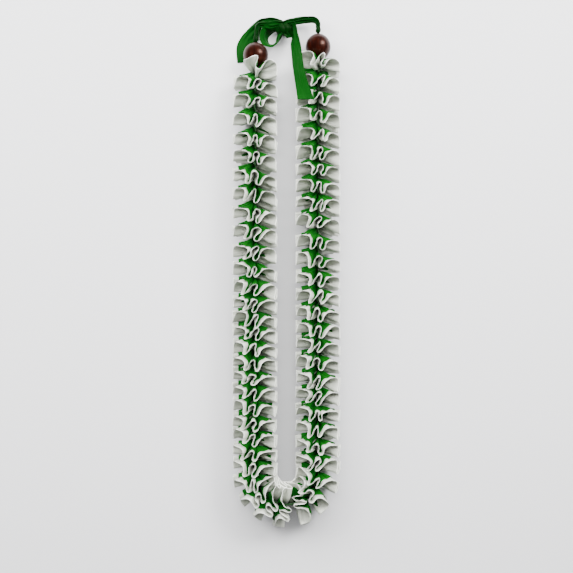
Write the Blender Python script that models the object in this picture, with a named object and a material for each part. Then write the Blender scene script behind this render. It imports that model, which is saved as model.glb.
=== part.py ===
"""Ribbon lei, lying folded in two on a surface.

A white ribbon and a narrower green one are gathered along one edge on a core cord and wind round it as a
left-handed ruffled spiral. The lei is two halves, each worked from its bead down to the foot of the U, with the
green face towards the bead. Ribbon ties join the two beads in a bow. Metres, +Z up, +Y towards the beads.
"""

import math

import bpy
import numpy as np

MM = 0.001
TURN = 2 * math.pi

# The garland's path, a U seen from above
ARM_SPACING = 63 * MM
BEND_RADIUS = ARM_SPACING / 2
BEND_Y = -186.5 * MM
AXIS_HEIGHT = 20.6 * MM  # under the ruffle's radius, so that the lowest rims are pressed flat on the surface

# The gathered ribbons
RUFFLE_RADIUS = 22 * MM
GREEN_SHARE = 0.68  # of the way from the core to the white rim
CORE_RADIUS = 1.2 * MM
GAP = 0.3 * MM
BLADE = 0.6 * MM
WAVE_HEIGHT = 5.6 * MM  # from the middle of a tier to a crest or a trough
HEIGHT_SPREAD = 0.1
WAVES_A_TURN = 10
WIDTH_SPREAD = 0.22
LEAN = 0.42  # sideways shift of a crest for each unit of its height
MOST_MITRE = 2.6
CUP = 6 * MM  # how far the first turn's rim rises towards the bead
SPLIT_SHARE = 0.03  # of a fold, left open where one ribbon is two solids

# The beads
BEAD_RADIUS = 12.6 * MM
BEAD_HEIGHT = 13.7 * MM
BEAD_SIDES = 20
BEAD_ROWS = 10
BEAD_REACH = 40 * MM  # along the path, from the bead's height to the garland's
BORE_RADIUS = CORE_RADIUS + GAP
BEAD_KNOT = (2.7 * MM, 3.5 * MM, 2.7 * MM)

# The bow
BOW_KNOT_PLACE = np.array([-1.6, 257.6, 8.4]) * MM
BOW_KNOT = np.array([8.0, 7.0, 7.2]) * MM
BOW_CREASE = 0.05  # how far its creases stand out and sink in, of its half-size
GATHERED_BLADE = 1.0 * MM  # upright through a pleat, so that its steep sides are still a blade thick

# Each half: side of the U, its bead and how tall it is for its width, and its ruffle. The ruffle's top end, the
# angle from the top where it starts, its turns as far as the foot of the U, the room it leaves there, the relative
# length of a turn at distances along the path, and the seed of its folds
HALVES = {
    "left": {
        "side": -1,
        "bead": (-31.0 * MM, 233.0 * MM),
        "tall": 1.0,
        "top": 218 * MM,
        "start": math.radians(-30),
        "turns": 28.22,
        "room": 3.2 * MM,
        "pitch": [(0, 17.6 * MM), (95 * MM, 19.2 * MM), (180 * MM, 18.6 * MM), (220 * MM, 15.6 * MM)],
        "seed": 11,
    },
    "right": {
        "side": 1,
        "bead": (31.9 * MM, 241.5 * MM),
        "tall": 1.04,
        "top": 226 * MM,
        "start": math.radians(-100),
        "turns": 27.28,
        "room": 5.5 * MM,
        "pitch": [(0, 17.0 * MM), (100 * MM, 17.2 * MM), (160 * MM, 18.6 * MM), (240 * MM, 16.8 * MM)],
        "seed": 23,
    },
}

# The ties, each a ribbon along points chosen by eye: x, y, z and width in millimetres, and the tilt of its width
# from level in degrees. Pleats are folds along a gathered stretch. The ends listed are seated at the bow's knot.
TIES = {
    "tie_left": {
        "seated": [-1],
        "pleat": 0.6 * MM,
        "blade": GATHERED_BLADE,
        "rows": [
            (-30.8, 253.2, 13.6, 4.2, 0),
            (-29.6, 257.2, 11.6, 4.4, 5),
            (-25.5, 260.6, 9.2, 4.4, 5),
            (-18.0, 261.4, 8.0, 4.4, 0),
            (-9.6, 260.2, 8.0, 4.2, 0),
        ],
    },
    "tie_right": {
        "seated": [-1],
        "pleat": 0.6 * MM,
        "blade": GATHERED_BLADE,
        "rows": [
            (31.9, 262.4, 13.6, 4.2, 0),
            (32.2, 265.6, 12.4, 4.4, 0),
            (29.8, 268.2, 10.0, 5.0, 0),
            (24.0, 268.6, 8.2, 5.6, 0),
            (15.5, 267.6, 7.6, 5.8, 0),
            (6.6, 263.8, 8.6, 5.0, 0),
        ],
    },
    "tail_wide": {
        "seated": [0],
        "pleat": 0.25 * MM,
        "blade": BLADE,
        "rows": [
            (-9.4, 264.8, 8.8, 3.2, 0),
            (-13.6, 267.0, 7.2, 4.8, 0),
            (-20.0, 267.8, 5.5, 5.0, 0),
            (-27.0, 266.6, 3.6, 5.0, 0),
            (-32.0, 262.4, 2.2, 7.0, 0),
            (-36.4, 255.4, 1.0, 11.5, 0),
            (-39.8, 246.0, 0.7, 15.5, 0),
            (-41.0, 235.0, 0.7, 16.0, 0),
            (-40.6, 224.8, 0.7, 15.6, 0),
        ],
    },
    "bow_loop": {
        "seated": [0, -1],
        "pleat": 0.0,
        "blade": BLADE,
        "rows": [
            (-10.2, 254.6, 8.2, 13.0, 84),
            (-15.5, 255.2, 8.2, 14.0, 84),
            (-20.4, 252.6, 8.2, 14.6, 80),
            (-21.6, 247.0, 8.2, 15.0, 72),
            (-19.0, 241.6, 8.2, 15.0, 76),
            (-14.0, 240.2, 8.2, 15.0, 82),
            (-10.0, 243.6, 8.2, 14.6, 84),
            (-8.4, 249.2, 8.2, 13.0, 84),
        ],
    },
    "tail_short": {
        "seated": [0],
        "pleat": 0.25 * MM,
        "blade": BLADE,
        "rows": [
            (0.2, 249.7, 7.6, 5.0, 10),
            (1.6, 247.4, 6.6, 6.4, 20),
            (4.6, 245.0, 5.4, 7.0, 30),
        ],
    },
    "tail_long": {
        "seated": [],
        "pleat": 0.25 * MM,
        "blade": BLADE,
        "rows": [
            (7.7, 258.4, 9.6, 4.2, -84),
            (9.4, 250.0, 14.6, 9.6, -60),
            (8.6, 238.0, 19.0, 15.5, -56),
            (9.4, 225.0, 24.0, 16.0, -56),
            (11.4, 213.0, 28.2, 16.0, -56),
            (14.3, 200.0, 34.4, 16.0, -48),
            (17.4, 189.0, 39.0, 16.0, -39),
        ],
    },
}


def clear_scene():
    for old in list(bpy.data.objects):
        bpy.data.objects.remove(old, do_unlink=True)


def material(name, colour, roughness, metallic=0.0):
    made = bpy.data.materials.new(name)
    made.use_nodes = True
    shader = made.node_tree.nodes["Principled BSDF"]
    shader.inputs["Base Color"].default_value = (*colour, 1)
    shader.inputs["Roughness"].default_value = roughness
    shader.inputs["Metallic"].default_value = metallic
    return made


def add_object(name, points, faces, look, smooth=False):
    """A mesh object of triangles. They are turned round if they face inwards."""
    corners = np.asarray(points)[np.asarray(faces)]
    inwards = np.linalg.det(corners).sum() < 0
    faces = faces[:, ::-1] if inwards else faces
    mesh = bpy.data.meshes.new(name)
    mesh.from_pydata(points.tolist(), [], faces.tolist())
    mesh.materials.append(look)
    if smooth:
        mesh.shade_smooth()
        mesh.set_sharp_from_angle(angle=math.radians(50))
    made = bpy.data.objects.new(name, mesh)
    bpy.context.scene.collection.objects.link(made)
    return made


def smooth_step(t):
    t = np.clip(t, 0, 1)
    return t * t * (3 - 2 * t)


def tube_faces(rings, sides, closed):
    """Triangles between rings of points, each ring after the last. A closed tube's last ring meets its first."""
    ring, side = np.meshgrid(np.arange(rings if closed else rings - 1), np.arange(sides), indexing="ij")
    here, beside = ring * sides, (ring + 1) % rings * sides
    after = (side + 1) % sides
    first = np.stack([here + side, here + after, beside + after], axis=-1)
    second = np.stack([here + side, beside + after, beside + side], axis=-1)
    return np.concatenate([first.reshape(-1, 3), second.reshape(-1, 3)])


class Path:
    """The axis of one half, by the distance along it from the top end of its ruffle."""

    def __init__(self, half):
        self.side = half["side"]
        self.top = half["top"]
        self.arm = self.top - BEND_Y
        self.length = self.arm + BEND_RADIUS * math.pi / 2
        self.bead_step = half["bead"][0] - self.side * BEND_RADIUS
        self.bead_drop = AXIS_HEIGHT - BEAD_HEIGHT

    def bend_angle(self, u):
        return np.clip((u - self.arm) / BEND_RADIUS, 0, math.pi / 2)

    def centre(self, u):
        angle = self.bend_angle(u)
        near_bead = 1 - smooth_step(u / BEAD_REACH)
        x = self.side * BEND_RADIUS * np.cos(angle) + self.bead_step * near_bead
        y = np.where(u < self.arm, self.top - u, BEND_Y - BEND_RADIUS * np.sin(angle))
        z = AXIS_HEIGHT - self.bead_drop * near_bead
        return np.stack([x, y, z], axis=-1)

    def right(self, u):
        """Level and across the path: +X on either arm, turning with the bend."""
        angle = self.bend_angle(u)
        return np.stack([np.cos(angle), -self.side * np.sin(angle), 0 * angle], axis=-1)

    def stretch(self, u, radius, turned):
        """How much longer the bend is out at that radius and angle than on the axis."""
        inward = -self.side * radius * np.sin(turned) / BEND_RADIUS
        return np.where(u > self.arm, 1 - inward, 1.0)

    def point(self, u, radius, turned, sideways):
        """A point round the axis: turned is the angle from the top, and sideways a step round the axis."""
        right = self.right(u)
        up = np.zeros_like(right)
        up[..., 2] = 1
        sine, cosine = np.sin(turned)[..., None], np.cos(turned)[..., None]
        outward = cosine * up + sine * right
        round_axis = cosine * right - sine * up
        return self.centre(u) + radius * outward + sideways[..., None] * round_axis


def ruffle_waves(half, path):
    """The folds of one half: angle and path length of each trough and crest in turn, and of each gather."""
    marks, lengths = zip(*half["pitch"])
    u_fine = np.linspace(0, path.length, 2000)
    pace = np.concatenate([[0], np.cumsum(1 / np.interp(u_fine[1:], marks, lengths))])
    turned = half["start"] + half["turns"] * TURN * pace / pace[-1]
    random = np.random.default_rng(half["seed"])
    count = int(half["turns"] * WAVES_A_TURN * 1.2)
    widths = TURN / WAVES_A_TURN * (1 + WIDTH_SPREAD * random.uniform(-1, 1, count))
    heights = WAVE_HEIGHT * (1 + HEIGHT_SPREAD * random.uniform(-1, 1, 2 * count))
    start = half["start"] + np.concatenate([[0], np.cumsum(widths)])
    last = np.interp(path.length - half["room"], u_fine, turned)
    kept = int(np.searchsorted(start, last)) - 1
    rim = np.empty(2 * kept + 1)
    rim[0::2] = start[: kept + 1]
    rim[1::2] = start[:kept] + widths[:kept] / 2
    is_crest = np.arange(2 * kept + 1) % 2 == 1
    rise = np.where(is_crest, 1, -1) * heights[: 2 * kept + 1]
    rise[0] = rise[-1] = 0
    u_rim = np.interp(rim, turned, u_fine)
    leaned = rim + LEAN * rise / RUFFLE_RADIUS
    stretch = path.stretch(u_rim, RUFFLE_RADIUS, leaned)
    cup = CUP * np.clip(1 - (rim - half["start"]) / TURN, 0, 1)
    u_rim = u_rim - rise / np.maximum(stretch, 1) - cup
    gather = rim[1::2]
    return leaned, u_rim, gather, np.interp(gather, turned, u_fine)


def mitres(path, leaned, u_rim):
    """For each rim point, the step that moves both its folds out by 1: (round the axis, towards the bead)."""
    stretch = path.stretch(u_rim, RUFFLE_RADIUS, leaned)
    across = np.diff(leaned) * RUFFLE_RADIUS
    towards = -np.diff(u_rim) * (stretch[1:] + stretch[:-1]) / 2
    size = np.hypot(across, towards)
    normal = np.stack([-towards / size, across / size], axis=1)
    before = np.concatenate([normal[:1], normal])
    after = np.concatenate([normal, normal[-1:]])
    step = (before + after) / (1 + (before * after).sum(axis=1))[:, None]
    longest = np.linalg.norm(step, axis=1)
    return step * np.minimum(1, MOST_MITRE / longest)[:, None]


def blade_side(path, waves, share, offset):
    """One face of a ruffle, offset from the middle of the white ribbon: its gathers, then its rim points."""
    leaned, u_rim, gather, u_gather, unit_step = waves
    step = unit_step * offset
    stretch = path.stretch(u_rim, RUFFLE_RADIUS, leaned)
    rim = path.point(u_rim - step[:, 1] / stretch, RUFFLE_RADIUS, leaned, step[:, 0])
    rim[:, 2] = np.maximum(rim[:, 2], 0)
    inner = path.point(u_gather - step[1::2, 1], BORE_RADIUS, gather, step[1::2, 0])
    owner = np.minimum(np.arange(len(rim)) // 2, len(inner) - 1)
    return np.concatenate([inner, inner[owner] + share * (rim - inner[owner])])


def blade_faces(count):
    """Triangles of one face: each gather fans out to its trough, its crest and the next trough."""
    gather = np.arange(count)
    trough = count + 2 * gather
    fans = [
        np.stack([gather, trough, trough + 1], axis=1),
        np.stack([gather, trough + 1, trough + 2], axis=1),
        np.stack([gather[:-1], trough[1:], gather[1:]], axis=1),
    ]
    return np.concatenate(fans)


def ruffle(name, half, first, last, share, low, high, look):
    """A length of gathered ribbon as one solid, between two offsets from the middle of the white ribbon."""
    path = Path(half)
    leaned, u_rim, gather, u_gather = ruffle_waves(half, path)
    begin, end = np.searchsorted(u_gather, [first, last])
    unit_step = mitres(path, leaned, u_rim)
    if begin:
        for row in (leaned, u_rim):
            row[2 * begin] += SPLIT_SHARE * (row[2 * begin + 1] - row[2 * begin])
    rim = slice(2 * begin, 2 * end + 1)
    waves = (leaned[rim], u_rim[rim], gather[begin:end], u_gather[begin:end], unit_step[rim])
    below = blade_side(path, waves, share, low)
    above = blade_side(path, waves, share, high)
    count = end - begin
    face = blade_faces(count)
    outline = np.concatenate([np.arange(count), np.arange(3 * count, count - 1, -1)])
    after = np.roll(outline, -1)
    other = len(below)
    walls = [
        np.stack([outline, after + other, after], axis=1),
        np.stack([outline, outline + other, after + other], axis=1),
    ]
    faces = np.concatenate([face[:, ::-1], face + other, *walls])
    return add_object(name, np.concatenate([below, above]), faces, look)


def ruffles(side, half, white, green):
    """The two ribbons of one half, each in two lengths, so that none of them bends round the neck's opening."""
    path = Path(half)
    spans = {"arm": (0, path.arm), "bend": (path.arm, path.length)}
    for span, (first, last) in spans.items():
        ruffle(f"ruffle_white_{side}_{span}", half, first, last, 1, -BLADE / 2, BLADE / 2, white)
        low = BLADE / 2 + GAP
        ruffle(f"ruffle_green_{side}_{span}", half, first, last, GREEN_SHARE, low, low + BLADE, green)


def cord_points(half):
    """The cord's half, from the top of its bead to the foot of the U."""
    path = Path(half)
    x, y = half["bead"]
    top = y + BEAD_RADIUS * half["tall"]
    in_bead = [(x, top - GAP, BEAD_HEIGHT), (x, (top + path.top) / 2, BEAD_HEIGHT)]
    near = np.linspace(0, BEAD_REACH, 9)
    bend = np.linspace(path.arm, path.length, 11)
    return np.concatenate([in_bead, path.centre(np.concatenate([near, bend]))])


def core_cord(look):
    left, right = (cord_points(half) for half in HALVES.values())
    points = np.concatenate([left, right[-2::-1]])
    curve = bpy.data.curves.new("core_cord", "CURVE")
    curve.dimensions = "3D"
    curve.bevel_depth = CORE_RADIUS
    curve.bevel_resolution = 2
    curve.use_fill_caps = True
    spline = curve.splines.new("POLY")
    spline.points.add(len(points) - 1)
    spline.points.foreach_set("co", np.column_stack([points, np.ones(len(points))]).ravel())
    curve.materials.append(look)
    made = bpy.data.objects.new("core_cord", curve)
    bpy.context.scene.collection.objects.link(made)


def bead(name, half, look):
    """A drilled ball: the profile of its skin and its bore, turned round the line of the bore."""
    x, y = half["bead"]
    mouth = math.asin(BORE_RADIUS / BEAD_RADIUS)
    angle = np.linspace(mouth, math.pi - mouth, BEAD_ROWS)
    profile = BEAD_RADIUS * np.stack([np.sin(angle), half["tall"] * np.cos(angle)], axis=1)
    turned = np.linspace(0, TURN, BEAD_SIDES, endpoint=False)
    radius, along = profile[:, :1], profile[:, 1:]
    skin = np.stack([x + radius * np.cos(turned), y + along + 0 * turned, BEAD_HEIGHT + radius * np.sin(turned)], -1)
    return add_object(name, skin.reshape(-1, 3), tube_faces(BEAD_ROWS, BEAD_SIDES, True), look, smooth=True)


def knot(name, place, half_sizes, rows, sides, crease, look):
    """A ball of wound ribbon: an ellipsoid with creases that slant round it."""
    fall, turned = np.meshgrid(np.arange(1, rows) * math.pi / rows, np.arange(sides) * TURN / sides, indexing="ij")
    wound = 1 + crease * np.sin(3 * turned + 2 * fall) * np.sin(fall)
    ball = np.stack([np.sin(fall) * np.cos(turned), np.cos(fall), np.sin(fall) * np.sin(turned)], -1)
    ball = (ball * wound[..., None]).reshape(-1, 3)
    points = np.concatenate([ball, [[0, 1, 0], [0, -1, 0]]]) * half_sizes + place
    side = np.arange(sides)
    after = (side + 1) % sides
    last = (rows - 2) * sides
    top, foot = len(ball), len(ball) + 1
    caps = [
        np.stack([after, side, np.full(sides, top)], axis=1),
        np.stack([last + side, last + after, np.full(sides, foot)], axis=1),
    ]
    faces = np.concatenate([tube_faces(rows - 1, sides, False), *caps])
    return add_object(name, points, faces, look)


def smooth_rows(rows, count):
    """Points on a smooth curve through every row (Catmull-Rom), columns alike."""
    rows = np.concatenate([[2 * rows[0] - rows[1]], rows, [2 * rows[-1] - rows[-2]]])
    place = np.linspace(0, len(rows) - 3, count)
    step = np.minimum(place.astype(int), len(rows) - 4)
    t = (place - step)[:, None]
    a, b, c, d = (rows[step + k] for k in range(4))
    return b + (c - a) * t / 2 + (2 * a - 5 * b + 4 * c - d) * t**2 / 2 + (3 * b - a - 3 * c + d) * t**3 / 2


def at_bow_knot(place):
    """The point in the same direction from the middle of the bow's knot, just clear of its creases."""
    away = place - BOW_KNOT_PLACE
    return BOW_KNOT_PLACE + away * ((1 + BOW_CREASE) / np.linalg.norm(away / BOW_KNOT) + GAP / np.linalg.norm(away))


def tie(name, made, look, across=4):
    """A ribbon swept along its rows, with an even number of pleats across it."""
    rows = np.array(made["rows"], float)
    rows[:, :4] *= MM
    for end in made["seated"]:
        rows[end, :3] = at_bow_knot(rows[end, :3])
    fine = smooth_rows(rows, 2 * len(rows) - 1)
    middle, width, tilt = fine[:, :3], fine[:, 3], np.radians(fine[:, 4])[:, None]
    along = np.gradient(middle, axis=0)
    along /= np.linalg.norm(along, axis=1)[:, None]
    level = np.cross(along, [0, 0, 1])
    level /= np.linalg.norm(level, axis=1)[:, None]
    rising = np.cross(level, along)
    wide = np.cos(tilt) * level + np.sin(tilt) * rising
    face = np.cos(tilt) * rising - np.sin(tilt) * level
    share = np.linspace(-0.5, 0.5, across + 1)
    fold = made["pleat"] * np.cos(math.pi * np.arange(across + 1))
    sheet = middle[:, None] + (width[:, None] * share)[..., None] * wide[:, None]
    above = sheet + (fold + made["blade"] / 2)[:, None] * face[:, None]
    below = sheet + (fold - made["blade"] / 2)[:, None] * face[:, None]
    ring = np.concatenate([above, below[:, ::-1]], axis=1)
    rings, sides = ring.shape[:2]
    k = np.arange(across)
    cap = np.concatenate(
        [
            np.stack([k, sides - 2 - k, k + 1], axis=1),
            np.stack([k, sides - 1 - k, sides - 2 - k], axis=1),
        ]
    )
    far = (rings - 1) * sides
    faces = np.concatenate([tube_faces(rings, sides, False), cap, cap[:, ::-1] + far])
    return add_object(name, ring.reshape(-1, 3), faces, look)


def stand_on_origin():
    """Puts the middle of the lei's foot at the origin."""
    meshes = [thing for thing in bpy.data.objects if thing.type == "MESH"]
    corners = np.concatenate([[corner[:] for corner in thing.bound_box] for thing in meshes])
    low, high = corners.min(axis=0), corners.max(axis=0)
    for thing in bpy.data.objects:
        thing.location = (-(low[0] + high[0]) / 2, -(low[1] + high[1]) / 2, -low[2])


def main():
    clear_scene()
    white = material("white_satin", (0.82, 0.83, 0.81), 0.45)
    green = material("green_satin", (0.012, 0.16, 0.02), 0.4)
    wood = material("polished_nut", (0.1, 0.025, 0.018), 0.18)
    thread = material("core_thread", (0.75, 0.75, 0.72), 0.8)
    for side, half in HALVES.items():
        ruffles(side, half, white, green)
        bead(f"bead_{side}", half, wood)
        x, y = half["bead"]
        seat = y + BEAD_RADIUS * half["tall"] + GAP + BEAD_KNOT[1]
        knot(f"bead_knot_{side}", (x, seat, BEAD_HEIGHT), BEAD_KNOT, 6, 10, 0.06, green)
    core_cord(thread)
    knot("bow_knot", BOW_KNOT_PLACE, BOW_KNOT, 10, 16, BOW_CREASE, green)
    for name, made in TIES.items():
        tie(name, made, green)
    stand_on_origin()


main()
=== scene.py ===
# Ribbon lei, dressed: satin ribbons gathered on a cord, two polished beads and a tied bow.
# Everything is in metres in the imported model's frame: +Z up from the table, +Y towards the beads.

import math

import bpy
import numpy as np
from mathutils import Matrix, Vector


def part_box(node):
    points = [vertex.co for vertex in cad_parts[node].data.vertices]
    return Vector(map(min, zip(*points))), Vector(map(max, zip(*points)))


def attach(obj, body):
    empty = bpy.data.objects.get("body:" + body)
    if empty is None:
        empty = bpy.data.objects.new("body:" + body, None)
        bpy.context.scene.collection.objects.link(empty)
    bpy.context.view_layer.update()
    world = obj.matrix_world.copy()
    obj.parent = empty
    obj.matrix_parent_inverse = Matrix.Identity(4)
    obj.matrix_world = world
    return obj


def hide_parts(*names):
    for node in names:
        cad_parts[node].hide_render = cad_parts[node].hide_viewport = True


mm = 0.001
turn = 2 * math.pi
tableGap = 0.02 * mm  # between the lowest folds and the table

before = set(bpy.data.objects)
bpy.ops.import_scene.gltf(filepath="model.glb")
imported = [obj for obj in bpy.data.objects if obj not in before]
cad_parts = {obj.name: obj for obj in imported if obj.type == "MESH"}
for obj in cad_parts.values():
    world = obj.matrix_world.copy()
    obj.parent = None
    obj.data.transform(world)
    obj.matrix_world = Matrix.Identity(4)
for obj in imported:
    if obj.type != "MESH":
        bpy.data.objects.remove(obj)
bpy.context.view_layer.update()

# The sizes below are about the middle of the photograph, and this step takes them to the frame's origin
beadLow, beadHigh = (np.array(corner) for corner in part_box("bead_left"))
toFrame = (beadLow + beadHigh) / 2 - np.array([-31.0, 233.0, 13.7]) * mm

garland = {
    "armSpacing": 63 * mm,
    "bendY": -186.5 * mm,
    "axisHeight": 20.6 * mm,
    "beadHeight": 13.7 * mm,
    "beadRadius": 12.6 * mm,
    "beadReach": 40 * mm,  # along the path, from the bead's height to the garland's
    "pastFoot": 18 * mm,  # each half's ribbons can run on by this much beyond the foot of the U
}

# A spiral's pitch and slide, which moves its turns along to where the photograph shows them, are given by the
# distance from its top, all in millimetres
halves = {
    "left": {
        "side": -1,
        "bead": (-31.0 * mm, 233.0 * mm),
        "tall": 1.0,  # the bead's length against its width
        "top": 218 * mm,
        "start": math.radians(-30),
        "turns": 28.22,
        "room": -5.0 * mm,  # between the ribbons' end and the foot
        "pitch": [(0, 17.6), (95, 19.2), (180, 18.6), (220, 15.6)],
        "slide": [
            (0, 0), (40, 1), (60, 3), (80, 4.5), (120, 4), (160, 5),
            (200, 7), (230, 8.5), (300, 6.5), (404, 6), (454, 0),
        ],
        "seed": 11,
        "cup": 12 * mm,  # the first turn's rim is pushed towards the bead by half of this, and its base away
        "leaf": True,  # the first fold lies open as a broad leaf
    },
    "right": {
        "side": 1,
        "bead": (31.9 * mm, 241.5 * mm),
        "tall": 1.04,
        "top": 226 * mm,
        "start": math.radians(-100),
        "turns": 27.28,
        "room": 2.5 * mm,
        "pitch": [(0, 17.0), (100, 17.2), (160, 18.6), (240, 16.8)],
        "slide": [
            (0, 0), (30, 3), (50, 4), (70, 6), (100, 7), (150, 4),
            (200, 7.5), (230, 8), (260, 7), (412, 6), (462, 0),
        ],
        "seed": 23,
        "cup": 5 * mm,
        "leaf": False,
    },
}


def smoothStep(low, high, value):
    t = np.clip((value - low) / (high - low), 0, 1)
    return t * t * (3 - 2 * t)


def unit(vectors):
    return vectors / np.maximum(np.linalg.norm(vectors, axis=-1, keepdims=True), 1e-12)


# wayAlong: the distance along a line of points to each of them
def wayAlong(line):
    return np.concatenate([[0], np.cumsum(np.linalg.norm(np.diff(line, axis=0), axis=1))])


# axesAlong: at each point of a line, the directions along it, level across it, and square to both
def axesAlong(line):
    along = unit(np.gradient(line, axis=0))
    level = unit(np.cross(along, [0, 0, 1]))
    return along, level, np.cross(level, along)


# gridNormals: the cross product of a grid's two directions
def gridNormals(points):
    return unit(np.cross(np.gradient(points, axis=1), np.gradient(points, axis=0)))


# onTable: points lower than the gap above the table are lifted to it
def onTable(points):
    return np.maximum(points, (-math.inf, -math.inf, tableGap))


# The cord's line through one half, by the distance u along it from the top end of its ruffle
class HalfPath:
    def __init__(self, half):
        self.side = half["side"]
        self.top = half["top"]
        self.bend = garland["armSpacing"] / 2
        self.arm = self.top - garland["bendY"]
        self.length = self.arm + self.bend * math.pi / 2
        self.past = garland["pastFoot"]
        self.beadStep = half["bead"][0] - self.side * self.bend
        self.beadDrop = garland["axisHeight"] - garland["beadHeight"]

    def bendAngle(self, u):
        return np.clip((u - self.arm) / self.bend, 0, math.pi / 2 + self.past / self.bend)

    # centre(u): straight down the arm, then a quarter circle to the foot of the U
    def centre(self, u):
        angle = self.bendAngle(u)
        nearBead = 1 - smoothStep(0, garland["beadReach"], u)
        x = self.side * self.bend * np.cos(angle) + self.beadStep * nearBead
        y = np.where(u < self.arm, self.top - u, garland["bendY"] - self.bend * np.sin(angle))
        z = garland["axisHeight"] - self.beadDrop * nearBead
        return np.stack([x, y, z], axis=-1)

    # point(u, radius, turned): that far out from the centre, turned from the top towards the right
    def point(self, u, radius, turned):
        angle = self.bendAngle(u)
        right = np.stack([np.cos(angle), -self.side * np.sin(angle), 0 * angle], axis=-1)
        outward = np.sin(turned)[..., None] * right
        outward[..., 2] += np.cos(turned)
        return self.centre(u) + radius[..., None] * outward

    # stretch: how much longer the bend is at that radius and angle than on the cord
    def stretch(self, u, radius, turned):
        return np.where(u > self.arm, 1 + self.side * radius * np.sin(turned) / self.bend, 1.0)


def addObject(name, data):
    made = bpy.data.objects.new(name, data)
    bpy.context.scene.collection.objects.link(made)
    return made


# meshObject: a smooth mesh, moved to the frame's origin, with its attributes at the points
def meshObject(name, points, faces, look, attributes=None):
    mesh = bpy.data.meshes.new(name)
    mesh.from_pydata((points + toFrame).tolist(), [], faces)
    mesh.validate()
    mesh.shade_smooth()
    for title, values in (attributes or {}).items():
        attribute = mesh.attributes.new(title, "FLOAT_VECTOR", "POINT")
        attribute.data.foreach_set("vector", values.astype(np.float32).ravel())
    mesh.materials.append(look.material)
    return addObject(name, mesh)


# ringFaces: the quads between closed rings of points, and where they wrap, from the last ring to the first
def ringFaces(rings, sides, wraps=False):
    ring, side = np.meshgrid(np.arange(rings if wraps else rings - 1), np.arange(sides), indexing="ij")
    here, there, after = ring * sides, (ring + 1) % rings * sides, (side + 1) % sides
    return np.stack([here + side, here + after, there + after, there + side], axis=-1).reshape(-1, 4)


# tube: closed rings of points, with a fan to the middle of the first ring and of the last
def tube(name, points, look, attributes=None):
    rings, sides = points.shape[:2]
    walls = ringFaces(rings, sides)[:, [0, 3, 2, 1]]
    k = np.arange(sides)
    first = np.stack([k, (k + 1) % sides, np.full(sides, rings * sides)], axis=1)
    last = first[:, [1, 0, 2]] + [(rings - 1) * sides, (rings - 1) * sides, 1]
    faces = walls.tolist() + first.tolist() + last.tolist()
    ends = np.stack([points[0].mean(axis=0), points[-1].mean(axis=0)])
    return meshObject(name, np.concatenate([points.reshape(-1, 3), ends]), faces, look, attributes)


# clothShell: a grid of cloth with a wall. Each column is a loop, out along one face, round the edge and back
# along the other. The first and last columns have caps, all but a triangle at the edge
def clothShell(name, points, halfThickness, place, look):
    inner, edge = points[:, :-1], points[:, -1:]
    wall = halfThickness[None, :, None] * gridNormals(points)[:, :-1]
    loop = onTable(np.concatenate([inner + wall, edge, (inner - wall)[:, ::-1]], axis=1))
    places = np.concatenate([place, place[:, -2::-1]], axis=1)
    columns, sides = loop.shape[:2]
    k = np.arange(sides // 2 - 1)
    cap = np.stack([k, sides - 1 - k, sides - 2 - k, k + 1], axis=1)
    faces = np.concatenate([ringFaces(columns, sides), cap, cap[:, [1, 0, 3, 2]] + (columns - 1) * sides])
    return meshObject(name, loop.reshape(-1, 3), faces.tolist(), look, {"ribbonPlace": places})


# One socket's value in a material, with Python's operators as Math nodes
class Val:
    def __init__(self, look, socket):
        self.look, self.socket = look, socket

    def math(self, operation, *others):
        return self.look.node("ShaderNodeMath", {"operation": operation}, dict(enumerate((self, *others))))

    def __add__(self, other):
        return self.math("ADD", other)

    def __sub__(self, other):
        return self.math("SUBTRACT", other)

    def __rsub__(self, other):
        return (self * -1).math("ADD", other)

    def __mul__(self, other):
        return self.math("MULTIPLY", other)

    __radd__, __rmul__ = __add__, __mul__

    # between(low, high): 0 below low and 1 above high, smooth between them
    def between(self, low, high):
        sockets = {"Value": self, "From Min": low, "From Max": high}
        return self.look.node("ShaderNodeMapRange", {"interpolation_type": "SMOOTHSTEP"}, sockets)


# A material: node() adds any node by its type, settings and sockets, and the rest are short forms of it
class Look:
    def __init__(self, name, **constants):
        self.material = bpy.data.materials.new(name)
        self.material.use_nodes = True
        self.tree = self.material.node_tree
        self.shader = self.tree.nodes["Principled BSDF"]
        for title, value in constants.items():
            self.shader.inputs[title.replace("_", " ")].default_value = value

    def node(self, kind, settings=None, sockets=None, out=0):
        node = self.tree.nodes.new(kind)
        for title, value in (settings or {}).items():
            setattr(node, title, value)
        for title, value in (sockets or {}).items():
            self.give(node.inputs[title], value)
        return Val(self, node.outputs[out])

    def give(self, socket, value):
        if isinstance(value, Val):
            self.tree.links.new(value.socket, socket)
        elif socket.type == "RGBA" and len(value) == 3:
            socket.default_value = (*value, 1)
        else:
            socket.default_value = value

    def set(self, title, value):
        self.give(self.shader.inputs[title], value)

    def attribute(self, title):
        return self.node("ShaderNodeAttribute", {"attribute_name": title}, out=1)

    def objectPlace(self):
        return self.node("ShaderNodeTexCoord", out=3)

    def split(self, vector):
        node = self.node("ShaderNodeSeparateXYZ", {}, {0: vector}).socket.node
        return [Val(self, output) for output in node.outputs]

    def join(self, x, y, z):
        return self.node("ShaderNodeCombineXYZ", {}, {0: x, 1: y, 2: z})

    def noise(self, place, scale, detail=3, roughness=0.5):
        sockets = {"Vector": place, "Scale": scale, "Detail": detail, "Roughness": roughness}
        return self.node("ShaderNodeTexNoise", {}, sockets)

    # mix(factor, a, b): a colour between two
    def mix(self, factor, a, b):
        return self.node("ShaderNodeMix", {"data_type": "RGBA"}, {0: factor, 6: a, 7: b}, out=2)

    def bump(self, height, distance, strength):
        return self.node("ShaderNodeBump", {}, {"Height": height, "Distance": distance, "Strength": strength})


print("satins")
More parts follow.
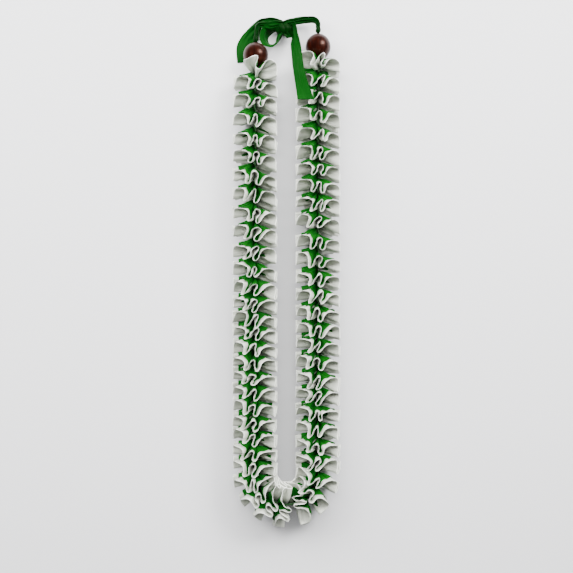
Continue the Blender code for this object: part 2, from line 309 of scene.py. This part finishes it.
# Marks in both satins, a number for each metre along the ribbon and across it, or the size of one in metres
marks = {
    "clouds": (90, 90),
    "cloudShade": 0.8,  # the darker patches' colour against the cloth's
    "fibres": (260, 5200),
    "fibreRoughness": 0.12,
    "threads": (0.42 * mm, 0.3 * mm),
    "threadHeight": 0.02,  # against a crease's 1
    "cloudHeight": 0.5,
    "creases": (900, 40),
    "broadCreases": (300, 30),
    "creasesEnd": (0.25, 0.8),  # the small creases fade between these shares of the width
    "creasesLeft": 0.3,
    "bumpDistance": 0.4 * mm,
    "bumpStrength": 0.55,
}
satins = {
    "whiteSatin": {
        "body": (0.51, 0.53, 0.46),
        "paintedShade": (0.05, 0.07, 0.04),  # painted shade close to the cord, tinted green as by light bounced off the green ribbon
        "paintedShadeTo": 0.5,  # the share of the width where the painted shade gives way to the body's colour
        # painted highlight, where light catches the rim
        "rim": (0.98, 0.99, 0.93),
        "rimHighlightFrom": 0.974,
        "creases": 4.0,
        "shader": {
            "Roughness": 0.42, "Sheen_Weight": 0.25, "Sheen_Roughness": 0.35, "Specular_IOR_Level": 0.45,
        },
    },
    "greenSatin": {
        "body": (0.0034, 0.08, 0.005),
        # painted shade close to the cord
        "paintedShade": (0.0005, 0.012, 0.0007),
        "paintedShadeTo": 0.52,
        # painted highlight along the rim
        "rim": (0.007, 0.11, 0.01),
        "rimHighlightFrom": 0.95,
        "creases": 1.6,
        "shader": {"Roughness": 0.45, "Sheen_Weight": 0.0, "Specular_IOR_Level": 0.05},
    },
}


# satinLook: the ribbon's own place gives its length and its width. Warp floats make a fine weave along the
# length, soft creases run across it from the gathers, the colour is painted darker towards the cord as
# painted shade, and the rim is painted lighter as a painted highlight
def satinLook(name):
    satin = satins[name]
    look = Look(name, **satin["shader"])
    along, across, share = look.split(look.attribute("ribbonPlace"))

    def scattered(counts, detail):
        return look.noise(look.join(along * counts[0], across * counts[1], 0), 1.0, detail)

    clouds = scattered(marks["clouds"], 3)
    shaded = tuple(marks["cloudShade"] * c for c in satin["body"])
    colour = look.mix(clouds.between(0.35, 0.75) * 0.5, satin["body"], shaded)
    # Painted shade: the colour is painted darker towards the cord, at low shares, as shade in the folds' hollows
    colour = look.mix(share.between(0.05, satin["paintedShadeTo"]), satin["paintedShade"], colour)
    # Painted highlight: the rim is painted lighter, where light catches the edge
    look.set("Base Color", look.mix(share.between(satin["rimHighlightFrom"], 0.985), colour, satin["rim"]))
    fibres = scattered(marks["fibres"], 2) * marks["fibreRoughness"]
    look.set("Roughness", fibres + (satin["shader"]["Roughness"] - marks["fibreRoughness"] / 2))
    long, wide = marks["threads"]
    weave = (along * (turn / long)).math("SINE") * (across * (turn / wide)).math("SINE")
    near = 1 - share.between(*marks["creasesEnd"]) + marks["creasesLeft"]
    folds = (scattered(marks["creases"], 2) * near + scattered(marks["broadCreases"], 2)) * satin["creases"]
    height = weave * marks["threadHeight"] + folds + clouds * marks["cloudHeight"]
    look.set("Normal", look.bump(height, marks["bumpDistance"], marks["bumpStrength"]))
    return look


whiteSatin, greenSatin = satinLook("whiteSatin"), satinLook("greenSatin")

print("cord")
cord = {
    "radius": 1.2 * mm,
    "strands": 3,
    "groove": 0.14,
    "lay": 9 * mm,
    "intoBead": 12 * mm,  # how far past a bead's middle it ends
    "pathPoints": 300,
    "rings": 1300,
    "sides": 14,
    # painted shade: the cord is coloured dark green, as the shade and green bounced light among the ribbons, so
    # that it hides there
    "colours": ((0.016, 0.07, 0.016), (0.03, 0.11, 0.03)),
}


def cordLook(name):
    look = Look(name, Roughness=0.8, Sheen_Weight=0.3)
    fluff = look.noise(look.objectPlace(), 2600.0, 2)
    look.set("Base Color", look.mix(fluff, *cord["colours"]))
    look.set("Normal", look.bump(fluff, 0.1 * mm, 0.5))
    return look


# twistedCord: round the line through both halves, at a radius of
# radius * (1 + groove * (cos(strands * (angle - twist)) - 1))
def twistedCord():
    lines = []
    for half in halves.values():
        path = HalfPath(half)
        x, y = half["bead"]
        inBead = np.array([[x, y + cord["intoBead"], garland["beadHeight"]]])
        lines.append(np.concatenate([inBead, path.centre(np.linspace(0, path.length, cord["pathPoints"]))]))
    line = np.concatenate([lines[0], lines[1][-2::-1]])
    way = wayAlong(line)
    place = np.linspace(0, way[-1], cord["rings"])
    line = np.stack([np.interp(place, way, line[:, k]) for k in range(3)], axis=1)
    _, side, up = axesAlong(line)
    angle = np.arange(cord["sides"]) * turn / cord["sides"]
    twist = place[:, None] * turn / cord["lay"]
    radius = cord["radius"] * (1 + cord["groove"] * (np.cos(cord["strands"] * (angle - twist)) - 1))
    ring = np.cos(angle)[None, :, None] * side[:, None] + np.sin(angle)[None, :, None] * up[:, None]
    return tube("coreCord", line[:, None] + radius[..., None] * ring, cordLook("coreThread"))


coreCord = twistedCord()
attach(coreCord, "root")
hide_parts("core_cord")

print("ruffles")
ruffle = {
    "troughs": [-11, 18, 84, 118, 152, 187, 222, 254, 286],  # where folds meet, in degrees from the top
    "plateaus": [0.7, 2.6, 1, 1, 1, 1, 1, 1, 2.6],  # above 1, the fold after that trough has flatter turns
    "skews": [1, 0.5, 1, 1, 1, 1, 1, 1, 0.5],  # below 1, it also has tighter troughs and a broader crest
    "twist": math.radians(-15),  # added to the troughs by the foot of the U
    "troughSpread": math.radians(5.5),
    "narrowest": math.radians(25),  # the least that the first fold is across
    "height": 5.6 * mm,
    "heightSpread": 0.24,
    "lean": 0.48,  # sideways shift of a crest for each unit of its height
    "leanSpread": 0.65,
    "meander": math.radians(86),  # how steep a fold's sides are
    "meanderSpread": math.radians(20),
    "samples": 24,  # along each fold
    "pathSteps": 2000,
    "innerRadius": 1.45 * mm,
    "outerRadius": 22 * mm,
    "radiusSpread": 0.5 * mm,
    "rimStep": 0.2,  # the rim lies past the last radius, by this share of the step before it
    "innerLoss": 0.2,
    "tightest": 0.45,  # the least stretch that counts on the inside of the bend
    "bunch": 3 * mm,
    "droop": 0.9 * mm,
    "wrinkle": 0.8 * mm,
    "finePleats": 3.5,  # small pleats in each fold, between the cord and the rim
    "finePleatDepth": 1.0 * mm,
    "finePleatSpread": 0.7,
    # How many folds it takes until each gets a new random value
    "every": {"lean": 1.5, "reach": 0.5, "droop": 2, "near": 0.4, "far": 0.3, "phase": 2, "depth": 0.6},
}
leaf = {
    "steepness": math.radians(50),
    "lean": 0.95,
    "leanEnd": (0.7, 1),  # of the fold's width, where it fades to the lean of the other folds
    "bulge": 0.4,
    "bulgeEnd": (0, 0.5),
}
cone = {
    "depth": 9.2 * mm,
    "power": 1.3,
    "uprightPower": 0.9,  # added to it on top, where the cloth stands up
    "uprightMiddle": 0.14,  # in radians from the top
    "uprightPace": 1.5,
    "underLoss": 1.3,
    # Its share, by the distance from the ribbon's top in millimetres
    "along": [(0, 0), (8, 1), (140, 1), (300, 0.72), (380, 0.68), (415, 0.45)],
    "left": (0.1, 0.5),  # the left side begins where minus the angle's sine is between these
    "leftEnd": 40 * mm,  # the left side's own share fades over this distance, before the bend
}
# A ribbon's radii are shares of the way from the cord to the white one's rim. They are alike near the cord,
# so that both bend at the same places. Its half thicknesses there are in millimetres
ribbons = {
    "white": {
        "radii": [0, 0.08, 0.2, 0.37, 0.55, 0.74, 0.97],
        "halfThickness": [0.07, 0.09, 0.12, 0.12, 0.12, 0.12, 0.2],
        "leftCone": 0.4,  # the share of the cone that it keeps on the left of each arm
        "offset": 0,
        "lift": 0,
        "beadGap": 0.9 * mm,
    },
    "green": {
        "radii": [0, 0.08, 0.2, 0.37, 0.55, 0.71],
        "halfThickness": [0.05, 0.08, 0.11, 0.12, 0.14, 0.22],
        "leftCone": 1.0,
        "offset": 0.18 * mm,  # from the white ribbon, at the cord
        "lift": 0.5 * mm,  # more than that at its free edge
        "beadGap": 0.3 * mm,
    },
}


# meander: a fold's direction is its steepness * sin(pi * t^skew)^plateau, with t from 0 in its troughs to 1
# on its crest. It gives the share of each fold's width passed and of its height climbed, to the crest and back
def meander(steepness, plateau, skew, samples):
    fine = 20  # steps between two samples
    way = (np.arange(samples * fine) + 0.5) / (samples * fine)
    nearCrest = 1 - np.abs(1 - 2 * way)
    wave = np.sin(math.pi * nearCrest ** skew[:, None]) ** plateau[:, None]
    direction = steepness[:, None] * np.sign(0.5 - way) * wave
    across, climb = np.cumsum(np.cos(direction), axis=1), np.cumsum(np.sin(direction), axis=1)
    across, climb = across / across[:, -1:], climb / climb.max(axis=1, keepdims=True)
    start = np.zeros((len(steepness), 1))
    pick = slice(fine - 1, -1, fine)
    return np.hstack([start, across[:, pick]]), np.hstack([start, climb[:, pick]])


# drift: a smooth random course between -1 and 1 along the folds, with a new value every few folds
def drift(random, folds, every, columns):
    values = random.uniform(-1, 1, int(folds / every) + 3)
    place = np.arange(columns) / (ruffle["samples"] * every)
    step = place.astype(int)
    t = smoothStep(0, 1, place - step)
    return values[step] * (1 - t) + values[step + 1] * t


# foldColumns: the angle, path length and climb of every column of a half's ribbon, from its troughs and
# crests, and the random courses that make its folds differ
def foldColumns(half, path):
    distances, pitches = np.array(half["pitch"]).T * mm
    uFine = np.linspace(0, path.length + path.past, ruffle["pathSteps"])
    pace = np.concatenate([[0], np.cumsum(1 / np.interp(uFine[1:], distances, pitches))])
    turned = half["start"] + half["turns"] * turn * pace / np.interp(path.length, uFine, pace)
    random = np.random.default_rng(half["seed"])
    rounds = np.arange(-1, int(half["turns"]) + 2)
    twist = ruffle["twist"] * rounds[:, None] / half["turns"]
    troughs = (np.radians(ruffle["troughs"]) + turn * rounds[:, None] + twist).ravel()
    troughs += ruffle["troughSpread"] * random.uniform(-1, 1, len(troughs))
    first = int(np.searchsorted(troughs, half["start"] + ruffle["narrowest"]))
    start = np.concatenate([[half["start"]], troughs[first:]])
    last = np.interp(path.length - half["room"], uFine, turned)
    kept = int(np.searchsorted(start, last)) - 1
    widths = np.diff(start)[:kept]
    folds = slice(first - 1, first - 1 + kept)
    plateau, skew = (np.tile(ruffle[kind], len(rounds))[folds] for kind in ("plateaus", "skews"))
    heights = ruffle["height"] * (1 + ruffle["heightSpread"] * random.uniform(-1, 1, 2 * kept + 1))
    rise = np.where(np.arange(2 * kept + 1) % 2 == 1, 1, -1) * heights
    rise[0] = rise[-1] = 0
    samples = ruffle["samples"]
    steepness = ruffle["meander"] + ruffle["meanderSpread"] * random.uniform(-1, 1, kept)
    if half["leaf"]:
        steepness[0] = leaf["steepness"]
        plateau[0] = skew[0] = 1
    across, climb = meander(steepness, plateau, skew, samples)
    middle = (start[:kept, None] + widths[:, None] * across).ravel()
    before, crest, after = rise[0:-1:2, None], rise[1::2, None], rise[2::2, None]
    foot = np.where(np.arange(samples) < samples / 2, before, after)
    rising = np.append(foot + (crest - foot) * climb, 0)
    middle = np.append(middle, start[kept])
    u = np.interp(middle, turned, uFine)
    columns = len(middle)
    fold = np.arange(columns) / samples

    def course(name):
        return drift(random, kept, ruffle["every"][name], columns)

    lean = ruffle["lean"] * (1 + ruffle["leanSpread"] * course("lean"))
    if half["leaf"]:
        lean += (leaf["lean"] - lean) * (1 - smoothStep(*leaf["leanEnd"], fold))
    return {
        "angle": middle,
        "u": u + np.interp(u, *(np.array(half["slide"]).T * mm)),
        "rise": rising,
        "cup": half["cup"] * np.clip(1 - (middle - half["start"]) / turn, 0, 1),
        "lean": lean,
        "reach": ruffle["radiusSpread"] * course("reach"),
        "droop": ruffle["droop"] * course("droop"),
        "wrinkleNear": ruffle["wrinkle"] * course("near"),
        "wrinkleFar": ruffle["wrinkle"] * course("far"),
        "finePhase": ruffle["finePleats"] * np.arange(columns) / samples + course("phase"),
        "fineDepth": ruffle["finePleatDepth"] * (1 + ruffle["finePleatSpread"] * course("depth")),
        "bulge": half["leaf"] * leaf["bulge"] * (1 - smoothStep(*leaf["bulgeEnd"], fold)),
    }


# ribbonGrid: columns by rings of points. The folds are nearly as high at the cord as at the rim, as
# 1 - innerLoss * (1 - share)^2, and lean by the share. The cloth is a shallow cone, whose middle is pushed
# towards the bead by depth * along * (1 - share)^power. On top the power is greater, by
# uprightPower * cos(uprightPace * angle)^2. The push is less underneath, and at the left, where a ribbon
# keeps its leftCone. Underneath the turns also bunch up by bunch * sin(2 * angle). Small pleats stand out from
# the cloth by sin(phase) * 4 * share * (1 - share), and soft wrinkles run all over it
def ribbonGrid(path, columns, shares, leftCone):
    share = np.array(shares)[None, :]
    inward = np.maximum(1 - share, 0)
    column = {name: value[:, None] for name, value in columns.items()}
    u, straight = column["u"], column["angle"]
    inner = ruffle["innerRadius"]
    radius = inner + (ruffle["outerRadius"] + column["reach"] - inner) * share
    rise = column["rise"] * (1 - ruffle["innerLoss"] * inward**2)
    angle = straight + column["lean"] * rise * share / radius - column["bulge"] * np.sin(math.pi * share)
    stretch = np.maximum(path.stretch(u, radius, angle), ruffle["tightest"])
    under = np.maximum(-np.cos(straight), 0)
    fromUpright = np.mod(straight - cone["uprightMiddle"] + math.pi, turn) - math.pi
    upright = np.maximum(np.cos(cone["uprightPace"] * fromUpright), 0) ** 2
    power = cone["power"] + cone["uprightPower"] * upright
    along = np.interp(u / mm, *zip(*cone["along"]))
    push = cone["depth"] * along * inward**power * (1 - cone["underLoss"] * under)
    atBend = smoothStep(path.arm - cone["leftEnd"], path.arm, u)
    atLeft = smoothStep(*cone["left"], -np.sin(straight)) * (1 - upright) * (1 - atBend)
    push *= 1 - (1 - leftCone) * atLeft
    bunch = ruffle["bunch"] * np.sin(2 * straight) * under
    u = u + (bunch - rise - push - column["droop"] * share) / stretch - column["cup"] * (share - 0.5)
    points = path.point(u, radius, angle)
    pleat = column["fineDepth"] * np.sin(turn * column["finePhase"]) * 4 * share * inward
    wave = column["wrinkleNear"] * np.sin(math.pi * share) + column["wrinkleFar"] * np.sin(turn * share)
    return points + (pleat + wave)[..., None] * gridNormals(points), radius


# offBead: points within the gap of a half's bead move straight out from its middle
def offBead(points, half, gap):
    middle = np.array([*half["bead"], garland["beadHeight"]])
    out = points - middle
    away = np.linalg.norm(out, axis=-1, keepdims=True)
    return middle + out * np.maximum(1, (garland["beadRadius"] * half["tall"] + gap) / np.maximum(away, mm))


# ruffleRibbon: the grid, moved out of its face by offset + lift * share, with a wall. It also gives the flat size
def ruffleRibbon(name, half, ribbon, look):
    path = HalfPath(half)
    radii = ribbon["radii"]
    shares = [*radii, radii[-1] + (radii[-1] - radii[-2]) * ruffle["rimStep"]]
    points, radius = ribbonGrid(path, foldColumns(half, path), shares, ribbon["leftCone"])
    share = np.array(shares) / shares[-1]
    shift = (ribbon["offset"] + ribbon["lift"] * share)[None, :, None]
    points = offBead(points + shift * gridNormals(points), half, ribbon["beadGap"])
    way = wayAlong(onTable(points[:, -1]))
    place = np.stack(np.broadcast_arrays(way[:, None], radius, share), axis=-1)
    width, length = radius[0, -1] - radius[0, 0], way[-1]
    print(f"{name}: {length:.3f} m of ribbon along its free edge, {width * 1000:.1f} mm wide")
    return clothShell(name, points, np.array(ribbon["halfThickness"]) * mm, place, look), (width, length)


for side, half in halves.items():
    white, cut = ruffleRibbon(f"whiteRibbon_{side}", half, ribbons["white"], whiteSatin)
    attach(white, "root")
    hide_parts(f"ruffle_white_{side}_arm", f"ruffle_white_{side}_bend")
    green, cut = ruffleRibbon(f"greenRibbon_{side}", half, ribbons["green"], greenSatin)
    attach(green, "root")
    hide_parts(f"ruffle_green_{side}_arm", f"ruffle_green_{side}_bend")

print("beads")
bead = {
    "bore": 1.5 * mm,
    "lip": 0.7 * mm,
    "rings": 60,
    "sides": 96,
    "lipPoints": 5,
    "borePoints": 8,
    "outOfRound": 0.012,
    "phase": 1.7,  # how far the second bead's longer side is turned from the first's
    "colours": ((0.005, 0.0006, 0.0003), (0.014, 0.0017, 0.0006)),
    "cloudColour": (0.024, 0.0037, 0.0016),
    "grain": (420, 60),  # lines in a metre, across the bore and along it
    "clouds": 130.0,
    "roughness": 0.24,
}


def nutLook(name):
    look = Look(name, Specular_IOR_Level=0.28, Specular_Tint=(1, 0.56, 0.44, 1))
    spot = look.objectPlace()
    x, y, z = look.split(spot)
    across, along = bead["grain"]
    grain = look.noise(look.join(x * across, y * along, z * across), 1.0, 5, 0.6)
    clouds = look.noise(spot, bead["clouds"], 3)
    colour = look.mix(grain.between(0.38, 0.66), *bead["colours"])
    look.set("Base Color", look.mix(clouds.between(0.5, 0.75) * 0.5, colour, bead["cloudColour"]))
    look.set("Roughness", grain * 0.14 + bead["roughness"])
    look.set("Normal", look.bump(grain + clouds * 0.5, 0.12 * mm, 0.35))
    return look


# drilledBead: a bore wall, a rounded lip and the ball, turned round the bore, a little out of round
def drilledBead(name, half, phase, look):
    x, y = half["bead"]
    radius, bore, lip = garland["beadRadius"], bead["bore"], bead["lip"]
    mouth = math.asin((bore + lip) / radius)
    angle = np.linspace(mouth, math.pi - mouth, bead["rings"])
    ball = np.stack([radius * np.sin(angle), radius * np.cos(angle)], axis=1)
    bend = np.linspace(0, math.pi / 2, bead["lipPoints"])[1:]
    curl = ball[-1] + lip * np.stack([-np.sin(bend), 1 - np.cos(bend)], axis=1)
    way = np.linspace(curl[-1, 1], -curl[-1, 1], bead["borePoints"])[1:-1]
    wall = np.stack([np.full(len(way), bore), way], axis=1)
    profile = np.concatenate([ball, curl, wall, curl[::-1] * [1, -1]])
    turned = np.arange(bead["sides"]) * turn / bead["sides"]
    out = profile[:, :1] * (1 + bead["outOfRound"] * np.cos(2 * turned + phase) / 2)
    along = profile[:, 1:] * half["tall"]
    places = x + out * np.cos(turned), y + along, garland["beadHeight"] + out * np.sin(turned)
    points = np.stack(np.broadcast_arrays(*places), axis=-1)
    faces = ringFaces(len(profile), bead["sides"], wraps=True)
    return meshObject(name, points.reshape(-1, 3), faces.tolist(), look)


nut = nutLook("polishedNut")
for order, (side, half) in enumerate(halves.items()):
    ball = drilledBead(f"bead_{side}_polished", half, order * bead["phase"], nut)
    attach(ball, "root")
    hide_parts(f"bead_{side}")

print("bow")
# Each strip: x, y, z and width in millimetres, and the tilt of its width in degrees. A slanted cut is how
# much further one edge runs on than the other, in millimetres
bowStrips = {
    "tie_left": {
        "pleats": 3,
        "rows": [
            (-31.0, 246.5, 13.7, 3.2, 0),
            (-30.4, 252.0, 13.4, 4.2, 0),
            (-29.9, 258.0, 12.6, 4.8, 0),
            (-28.4, 263.6, 11.6, 5.4, 0),
            (-23.6, 264.6, 11.8, 7.4, 0),
            (-17.0, 263.8, 12.2, 9.4, 0),
            (-10.5, 264.2, 12.4, 8.6, 0),
            (-4.0, 264.4, 12.0, 6.6, 0),
        ],
    },
    "tie_right": {
        "pleats": 3,
        "rows": [
            (31.9, 256.0, 13.7, 3.4, 0),
            (31.9, 261.0, 13.7, 4.2, 0),
            (31.5, 266.0, 13.0, 5.0, 0),
            (27.8, 269.4, 11.6, 6.2, 0),
            (21.0, 270.0, 10.6, 7.2, 0),
            (13.5, 269.2, 10.8, 7.6, 0),
            (6.4, 267.6, 11.8, 7.4, 0),
            (1.5, 266.4, 12.6, 6.8, 0),
            (-3.0, 265.2, 12.4, 5.8, 0),
        ],
    },
    "tail_wide": {
        "pleats": 3,
        "rows": [
            (-1.0, 265.2, 9.6, 4.6, 0),
            (-5.4, 266.8, 11.0, 5.6, 0),
            (-11.0, 268.2, 10.8, 6.4, 0),
            (-18.0, 269.2, 9.0, 6.8, 0),
            (-25.6, 268.4, 6.8, 7.4, 0),
            (-30.6, 263.8, 4.4, 10.0, 0),
            (-35.2, 257.2, 2.8, 13.6, 0),
            (-40.0, 250.2, 1.8, 15.6, 0),
            (-43.2, 242.4, 1.2, 16.0, 0),
            (-42.4, 229.2, 0.8, 16.0, 0),
        ],
    },
    "bow_loop": {
        "pleats": 1,
        "rows": [
            (-5.0, 260.4, 8.4, 11.0, 78),
            (-11.0, 261.6, 8.4, 13.6, 64),
            (-17.0, 260.6, 8.4, 15.2, 58),
            (-21.6, 256.4, 8.4, 15.6, 56),
            (-22.8, 250.8, 8.4, 15.8, 58),
            (-20.2, 246.0, 8.4, 15.8, 62),
            (-14.8, 244.2, 8.4, 15.6, 70),
            (-10.2, 247.0, 8.4, 15.2, 82),
            (-8.4, 252.0, 8.4, 13.6, 88),
            (-5.6, 257.0, 8.4, 11.6, 88),
        ],
    },
    "tail_short": {
        "pleats": 2,
        "cut": -5.0,
        "rows": [
            (-2.8, 261.0, 13.0, 5.4, 8),
            (-0.4, 258.0, 12.8, 7.0, 12),
            (2.0, 255.0, 11.4, 8.2, 18),
            (4.4, 251.8, 9.6, 9.0, 24),
        ],
    },
    "tail_long": {
        "pleats": 2,
        "cut": -8.5,
        "rows": [
            (6.6, 266.4, 10.6, 6.4, -50),
            (7.6, 261.6, 12.4, 9.0, -54),
            (8.4, 255.4, 13.8, 12.0, -60),
            (9.1, 242.4, 17.4, 15.6, -54),
            (10.2, 230.2, 22.2, 16.0, -51),
            (11.5, 218.0, 26.8, 16.0, -50),
            (13.4, 206.0, 31.6, 16.0, -47),
            (15.6, 195.0, 36.6, 16.0, -38),
            (18.7, 182.6, 41.8, 16.0, -21),
        ],
    },
}
strip = {
    "flatWidth": 16 * mm,
    "halfThickness": 0.14 * mm,
    "hem": 0.14 * mm,  # added to it at the edges
    "hemFrom": 0.46,  # of the width from the middle, where the edge is at 0.5
    "foldDepth": 0.4,  # against pleats that take up all the width left over
    "wander": 7 * mm,
    "cutReach": 22 * mm,  # the last stretch, which a slanted cut changes
    "paintedShadeShare": (0.09, 0.17),  # the least, and what a full width adds, of the share that the satin reads: painted shade, darker where a strip is drawn narrower and gathered
    "along": 96,
    "across": 52,
}


# smoothRows: a Catmull-Rom curve through every row, columns alike
def smoothRows(rows, count):
    rows = np.concatenate([[2 * rows[0] - rows[1]], rows, [2 * rows[-1] - rows[-2]]])
    place = np.linspace(0, len(rows) - 3, count)
    step = np.minimum(place.astype(int), len(rows) - 4)
    t = (place - step)[:, None]
    a, b, c, d = (rows[step + k] for k in range(4))
    return b + (c - a) * t / 2 + (2 * a - 5 * b + 4 * c - d) * t**2 / 2 + (3 * b - a - 3 * c + d) * t**3 / 2


# ribbonStrip: a strip keeps the ribbon's flat width. Where it is drawn narrower, the rest is taken up in
# pleats, as deep as foldDepth * sqrt(flat width^2 - width^2) / (2 * pleats). Their places and depths wander
# along the strip, as slow sines
def ribbonStrip(name, drawn):
    rows = np.array(drawn["rows"], float)
    rows[:, :4] *= mm
    fine = smoothRows(rows, strip["along"])
    line, width, tilt = fine[:, :3], fine[:, 3:4], np.radians(fine[:, 4:])
    along, level, rising = axesAlong(line)
    wide = np.cos(tilt) * level + np.sin(tilt) * rising
    face = np.cos(tilt) * rising - np.sin(tilt) * level
    share = np.linspace(-0.5, 0.5, strip["across"] + 1)
    depth = np.sqrt(np.maximum(strip["flatWidth"] ** 2 - width**2, 0)) / (2 * drawn["pleats"])
    way = wayAlong(line)
    run = way[:, None] / strip["wander"] + len(name)
    wander = 0.9 * np.sin(run) + 0.7 * np.sin(2.3 * run + 9 * share)
    uneven = 1 + 0.35 * np.sin(1.7 * run + 7 * share) * np.cos(5 * share + 0.6 * run)
    fold = strip["foldDepth"] * depth * uneven * np.cos(turn * drawn["pleats"] * share + wander)
    points = line[:, None] + (width * share)[..., None] * wide[:, None] + fold[..., None] * face[:, None]
    atEnd = smoothStep(way[-1] - strip["cutReach"], way[-1], way)[:, None]
    points += (drawn.get("cut", 0) * mm * atEnd * share)[..., None] * along[:, None]
    thick = strip["halfThickness"] + strip["hem"] * smoothStep(strip["hemFrom"], 0.5, np.abs(share))
    # Painted shade: gathered strips read a low share, so the satin paints them darker, as shade in their pleats
    least, more = strip["paintedShadeShare"]
    paintedShadeShare = least + more * width / strip["flatWidth"]
    place = np.stack(np.broadcast_arrays((share + 0.5) * strip["flatWidth"], way[:, None], paintedShadeShare), axis=-1)
    print(f"{name}: {way[-1] * 1000:.0f} mm long")
    return clothShell(f"{name}_ribbon", points, thick[:-1], place, greenSatin), way[-1]


for name, drawn in bowStrips.items():
    piece, length = ribbonStrip(name, drawn)
    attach(piece, "root")
    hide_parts(name)

print("knots")
knots = {
    "bow": {
        "place": (-2.6 * mm, 260.6 * mm, 8.8 * mm),
        "halfSizes": (9.2 * mm, 6.8 * mm, 7.6 * mm),
        "folds": 7,
        "slant": 0.7,
        "depth": 0.2,
        "rows": 60,
        "sides": 126,
    },
    "bead": {
        "rise": 3.8 * mm,  # its middle, past the end of the bead
        "halfSizes": (2.9 * mm, 3.7 * mm, 2.9 * mm),
        "folds": 3,
        "slant": 1.4,
        "depth": 0.3,
        "rows": 36,
        "sides": 48,
    },
}
winding = {
    "pole": 0.06,  # the angle left for the fans at its two ends
    "roundness": 0.7,  # the power that makes the folds round and the valleys sharp
    "shares": (0.8, 0.2),  # of the folds, and of the ones that cross them
    "sway": 0.8,
    "paintedShadeShare": (0.02, 0.06),  # the share that the satin reads in a valley, and what a ridge adds: painted shade, darkest in the valleys
    "polePaintedShadeShare": 0.1,
}


# woundKnot: an ellipsoid whose radius is raised by |sin(folds * angle / 2 + slant * fall)|^roundness, and by
# the folds that cross them, |sin(2 * fall - sway * sin(angle))|^roundness
def woundKnot(name, place, knot):
    halfSizes = np.array(knot["halfSizes"])
    fall = np.linspace(math.pi - winding["pole"], winding["pole"], knot["rows"])[:, None]
    turned = (np.arange(knot["sides"]) * turn / knot["sides"])[None, :]
    ridge = np.abs(np.sin(knot["folds"] * turned / 2 + knot["slant"] * fall)) ** winding["roundness"]
    cross = np.abs(np.sin(2 * fall - winding["sway"] * np.sin(turned))) ** winding["roundness"]
    along, over = winding["shares"]
    wound = 1 - knot["depth"] + knot["depth"] * (along * ridge + over * cross)
    ball = np.sin(fall) * np.cos(turned), np.cos(fall), np.sin(fall) * np.sin(turned)
    points = np.stack(np.broadcast_arrays(*ball), axis=-1) * wound[..., None] * halfSizes + place
    # Painted shade: the whole knot is painted dark, darkest in its valleys, as the shade under the band and
    # between its folds
    valley, more = winding["paintedShadeShare"]
    spots = turned * halfSizes[0], (math.pi - fall) * halfSizes[1], valley + more * ridge
    spots = np.stack(np.broadcast_arrays(*spots), axis=-1).reshape(-1, 3)
    spots = np.concatenate([spots, [(0, 0, winding["polePaintedShadeShare"])] * 2])
    made = tube(name, points, greenSatin, {"ribbonPlace": spots})
    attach(made, "root")
    return made


bowKnot = woundKnot("bow_knot_wound", knots["bow"]["place"], knots["bow"])
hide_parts("bow_knot")
for side, half in halves.items():
    x, y = half["bead"]
    seat = x, y + garland["beadRadius"] * half["tall"] + knots["bead"]["rise"], garland["beadHeight"]
    small = woundKnot(f"bead_knot_{side}_wound", seat, knots["bead"])
    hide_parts(f"bead_knot_{side}")

print("floor, lights and camera")
studio = {
    "floor": 12,  # half of its side
    "floorColours": ((0.70, 0.70, 0.715), (0.73, 0.73, 0.742)),
    "camera": 0.9006,  # above the table
    "lens": 55.3,
    "sensor": 36,
    "sky": (0.93, 0.94, 0.96),
    "horizon": 0.36,  # the room's brightness low down, and overhead
    "zenith": 0.1,
    "skyHeights": (0.3, 0.95),  # the upward parts of a direction between which one turns into the other
    "lamps": [
        {"name": "key", "at": (1.02, 0.86, 1.1), "size": 0.7, "power": 56.0, "mirrored": True},
        {"name": "left", "at": (-1.05, 0.6, 0.85), "size": 0.9, "power": 39.0, "mirrored": False},
        {"name": "top", "at": (0, 0.75, 0.95), "size": 1.5, "power": 49.0, "mirrored": False},
    ],
}


def floorLook(name):
    look = Look(name, Roughness=0.65)
    grain = look.noise(look.objectPlace(), 900.0, 3)
    look.set("Base Color", look.mix(grain, *studio["floorColours"]))
    return look


far = studio["floor"]
floorMesh = bpy.data.meshes.new("floor")
floorMesh.from_pydata([(-far, -far, 0), (far, -far, 0), (far, far, 0), (-far, far, 0)], [], [(0, 1, 2, 3)])
floorMesh.materials.append(floorLook("paleFloor").material)
floor = addObject("floor", floorMesh)

world = bpy.data.worlds.new("studio")
bpy.context.scene.world = world
world.use_nodes = True
room = world.node_tree
background = room.nodes["Background"]
background.inputs["Color"].default_value = (*studio["sky"], 1)
direction = room.nodes.new("ShaderNodeTexCoord")
parts = room.nodes.new("ShaderNodeSeparateXYZ")
height = room.nodes.new("ShaderNodeMapRange")
height.inputs["From Min"].default_value, height.inputs["From Max"].default_value = studio["skyHeights"]
height.inputs["To Min"].default_value = studio["horizon"]
height.inputs["To Max"].default_value = studio["zenith"]
room.links.new(direction.outputs["Generated"], parts.inputs[0])
room.links.new(parts.outputs["Z"], height.inputs["Value"])
room.links.new(height.outputs["Result"], background.inputs["Strength"])
for lamp in studio["lamps"]:
    light = bpy.data.lights.new(lamp["name"], "AREA")
    light.shape, light.size, light.energy = "DISK", lamp["size"], lamp["power"]
    lit = addObject(lamp["name"], light)
    lit.location = lamp["at"]
    lit.rotation_euler = (-Vector(lamp["at"])).to_track_quat("-Z", "Y").to_euler()
    lit.visible_glossy = lamp["mirrored"]

camera = addObject("camera", bpy.data.cameras.new("camera"))
camera.data.lens = studio["lens"]
camera.data.sensor_width = studio["sensor"]
camera.location = (toFrame[0], toFrame[1], studio["camera"])
bpy.context.scene.camera = camera
